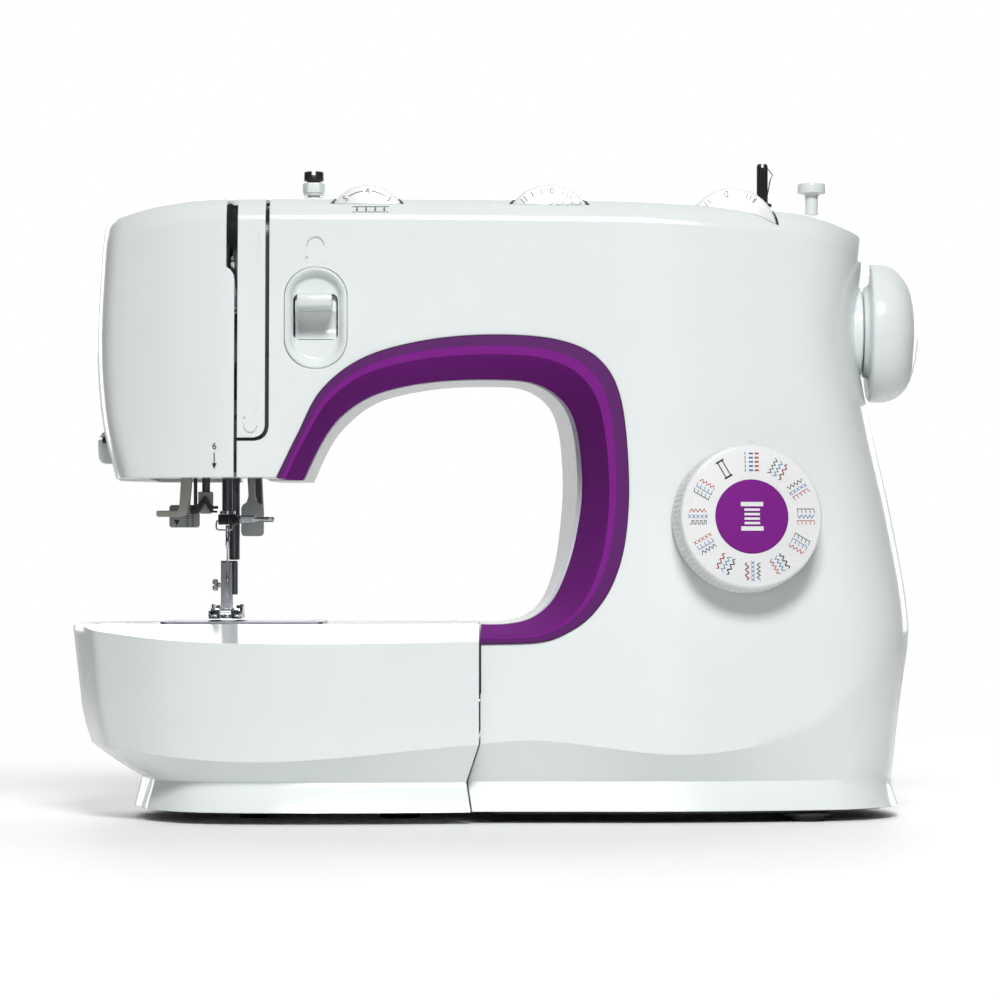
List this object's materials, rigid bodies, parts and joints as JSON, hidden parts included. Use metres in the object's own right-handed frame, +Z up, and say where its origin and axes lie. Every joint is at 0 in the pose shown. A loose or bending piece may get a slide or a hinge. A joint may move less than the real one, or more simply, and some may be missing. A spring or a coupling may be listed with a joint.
{
  "type": "sewing machine",
  "caption": "Compact domestic sewing machine with free arm, push-on extension table, purple throat trim, pattern dial, thumbwheels, handwheel, needle, foot and front bobbin door.",
  "frame": {"origin": "middle of the footprint on the table that the machine stands on", "axes": "+Z up, -Y towards the operator, +X towards the handwheel"},
  "size_m": [0.4008, 0.1761, 0.309],
  "materials": {
    "shell": "glossy moulded white",
    "dial_white": "satin white",
    "purple": "satin deep purple",
    "black": "matte black",
    "rubber": "black rubber",
    "chrome": "bright plated",
    "steel": "ground steel",
    "dark_steel": "dark blackened",
    "cast": "die-cast",
    "beige": "beige grey",
    "clear": "smoky translucent"
  },
  "bodies": {
    "machine": {"base_plate": "black", "foot_front_left": "rubber", "foot_front_middle": "rubber", "foot_front_right": "rubber", "foot_rear_left": "rubber", "foot_rear_right": "rubber", "front_cover": "shell", "face_cover": "shell", "thread_channel_cover": "shell", "rear_cover": "shell", "opening_trim": "purple", "free_arm_shell": "shell", "needle_plate": "steel", "cast_frame": "cast", "motor_body": "dark_steel", "drive_belt": "black", "timing_belt": "black", "shuttle_race": "cast", "bobbin_case": "chrome", "lever_bezel": "shell", "thread_guide_post": "shell", "guide_cap": "black", "winder_stop": "shell", "thread_cutter": "beige", "inlet_socket": "black"},
    "wheel": {"handwheel": "shell", "main_shaft": "steel"},
    "rotor": {"motor_pulley": "steel"},
    "under_shaft": {"lower_shaft": "steel"},
    "hook": {"shuttle_hook": "chrome"},
    "bobbin": {"bobbin": "clear"},
    "door": {"bobbin_door": "shell"},
    "needle_bar": {"needle_bar": "steel", "needle_clamp": "black", "needle": "chrome"},
    "clamp_screw": {"clamp_screw": "chrome"},
    "presser": {"presser_bar": "dark_steel", "foot_holder": "steel"},
    "thumb_screw": {"foot_thumb_screw": "steel"},
    "foot": {"presser_foot": "chrome"},
    "lifter": {"presser_lifter": "black"},
    "take_up": {"take_up_lever": "chrome"},
    "threader": {"threader_lever": "beige"},
    "threader_head": {"threader_head": "clear"},
    "buttonhole": {"buttonhole_lever": "clear"},
    "pattern": {"pattern_dial": "dial_white"},
    "tension": {"tension_dial": "dial_white"},
    "width": {"width_dial": "dial_white"},
    "length": {"length_dial": "dial_white"},
    "reverse": {"reverse_lever": "shell"},
    "winder_carriage": {"winder_carriage": "steel"},
    "winder_spindle": {"winder_spindle": "black"},
    "spool_left": {"spool_pin_left": "shell"},
    "spool_right": {"spool_pin_right": "shell"},
    "handle": {"carrying_handle": "shell"},
    "table": {"extension_table": "shell"},
    "feed_bar": {"feed_bar": "steel"},
    "feed_dog": {"feed_dog": "steel"},
    "drop_lever": {"drop_feed_lever": "black"},
    "switch": {"power_switch": "black"}
  },
  "joints": [
    {"name": "handwheel_spin", "type": "hinge", "parent": "machine", "child": "wheel", "pos_m": [0.176, 0.005, 0.2292], "axis": [1, 0, 0], "continuous": true},
    {"name": "motor_spin", "type": "hinge", "parent": "machine", "child": "rotor", "pos_m": [0.15, 0.005, 0.06], "axis": [1, 0, 0], "continuous": true},
    {"name": "lower_shaft_spin", "type": "hinge", "parent": "machine", "child": "under_shaft", "pos_m": [0, 0.028, 0.052], "axis": [1, 0, 0], "continuous": true},
    {"name": "hook_swing", "type": "hinge", "parent": "machine", "child": "hook", "pos_m": [-0.1275, 0, 0.06], "axis": [0, 1, 0], "range_deg": [-100, 100]},
    {"name": "bobbin_spin", "type": "hinge", "parent": "machine", "child": "bobbin", "pos_m": [-0.1275, -0.016, 0.06], "axis": [0, 1, 0], "continuous": true},
    {"name": "bobbin_door_hinge", "type": "hinge", "parent": "machine", "child": "door", "pos_m": [-0.127, -0.031, 0.0426], "axis": [1, 0, 0], "range_deg": [0, 55]},
    {"name": "needle_bar_slide", "type": "slide", "parent": "machine", "child": "needle_bar", "axis": [0, 0, 1], "range_m": [-0.03, 0]},
    {"name": "clamp_screw_turn", "type": "hinge", "parent": "needle_bar", "child": "clamp_screw", "pos_m": [-0.118, 0.005, 0.1402], "axis": [1, 0, 0], "continuous": true},
    {"name": "presser_bar_slide", "type": "slide", "parent": "machine", "child": "presser", "axis": [0, 0, 1], "range_m": [0, 0.006]},
    {"name": "thumb_screw_turn", "type": "hinge", "parent": "presser", "child": "thumb_screw", "pos_m": [-0.133, 0.014, 0.109], "axis": [1, 0, 0], "continuous": true},
    {"name": "foot_tilt", "type": "hinge", "parent": "presser", "child": "foot", "pos_m": [-0.1278, 0.014, 0.0961], "axis": [1, 0, 0], "range_deg": [-2, 2]},
    {"name": "lifter_hinge", "type": "hinge", "parent": "machine", "child": "lifter", "pos_m": [-0.116, 0.03, 0.17], "axis": [1, 0, 0], "range_deg": [0, 60]},
    {"name": "take_up_swing", "type": "hinge", "parent": "machine", "child": "take_up", "pos_m": [-0.1218, -0.018, 0.24], "axis": [1, 0, 0], "range_deg": [-35, 0]},
    {"name": "threader_slide", "type": "slide", "parent": "machine", "child": "threader", "axis": [0, 0, 1], "range_m": [-0.028, 0]},
    {"name": "threader_turn", "type": "hinge", "parent": "threader", "child": "threader_head", "pos_m": [-0.1371, -0.004, 0.15], "axis": [0, 0, 1], "range_deg": [0, 70]},
    {"name": "buttonhole_slide", "type": "slide", "parent": "machine", "child": "buttonhole", "axis": [0, 0, 1], "range_m": [-0.03, 0]},
    {"name": "pattern_turn", "type": "hinge", "parent": "machine", "child": "pattern", "pos_m": [0.1144, -0.0616, 0.1394], "axis": [0.153, -0.9846, 0.0844], "continuous": true},
    {"name": "tension_turn", "type": "hinge", "parent": "machine", "child": "tension", "pos_m": [-0.0596, -0.0445, 0.277], "axis": [0, -0.9848, 0.1736], "range_deg": [-140, 140]},
    {"name": "width_turn", "type": "hinge", "parent": "machine", "child": "width", "pos_m": [0.0248, -0.0445, 0.2745], "axis": [0, -0.9848, 0.1736], "range_deg": [-60, 160]},
    {"name": "length_turn", "type": "hinge", "parent": "machine", "child": "length", "pos_m": [0.1102, -0.0395, 0.2735], "axis": [0, -0.9848, 0.1736], "range_deg": [-160, 60]},
    {"name": "reverse_press", "type": "hinge", "parent": "machine", "child": "reverse", "pos_m": [-0.0835, -0.028, 0.236], "axis": [1, 0, 0], "range_deg": [0, 20], "stiffness_Nm_per_rad": 0.15},
    {"name": "winder_shift", "type": "slide", "parent": "machine", "child": "winder_carriage", "axis": [1, 0, 0], "range_m": [0, 0.006]},
    {"name": "winder_spin", "type": "hinge", "parent": "winder_carriage", "child": "winder_spindle", "pos_m": [0.1266, 0.005, 0.29], "axis": [0, 0, 1], "continuous": true},
    {"name": "spool_pin_left_pull", "type": "slide", "parent": "machine", "child": "spool_left", "axis": [0, 0, 1], "range_m": [0, 0.05]},
    {"name": "spool_pin_right_pull", "type": "slide", "parent": "machine", "child": "spool_right", "axis": [0, 0, 1], "range_m": [0, 0.05]},
    {"name": "handle_hinge", "type": "hinge", "parent": "machine", "child": "handle", "pos_m": [-0.004, 0.018, 0.287], "axis": [1, 0, 0], "range_deg": [0, 90]},
    {"name": "table_slide", "type": "slide", "parent": "machine", "child": "table", "axis": [-1, 0, 0], "range_m": [0, 0.2]},
    {"name": "feed_travel", "type": "slide", "parent": "machine", "child": "feed_bar", "axis": [0, 1, 0], "range_m": [-0.0025, 0.0025]},
    {"name": "feed_drop", "type": "slide", "parent": "feed_bar", "child": "feed_dog", "axis": [0, 0, 1], "range_m": [-0.0025, 0]},
    {"name": "drop_feed_shift", "type": "slide", "parent": "machine", "child": "drop_lever", "axis": [1, 0, 0], "range_m": [0, 0.012]},
    {"name": "power_rock", "type": "hinge", "parent": "machine", "child": "switch", "pos_m": [0.186, 0.034, 0.081], "axis": [0, 1, 0], "range_deg": [-8, 8]}
  ],
  "couplings": [
    {"joint": "motor_spin", "follows": "handwheel_spin", "ratio": 7},
    {"joint": "lower_shaft_spin", "follows": "handwheel_spin", "ratio": 1},
    {"joint": "lifter_hinge", "follows": "presser_bar_slide", "rad_per_m": 174.5},
    {"joint": "feed_drop", "follows": "drop_feed_shift", "ratio": -0.208}
  ]
}
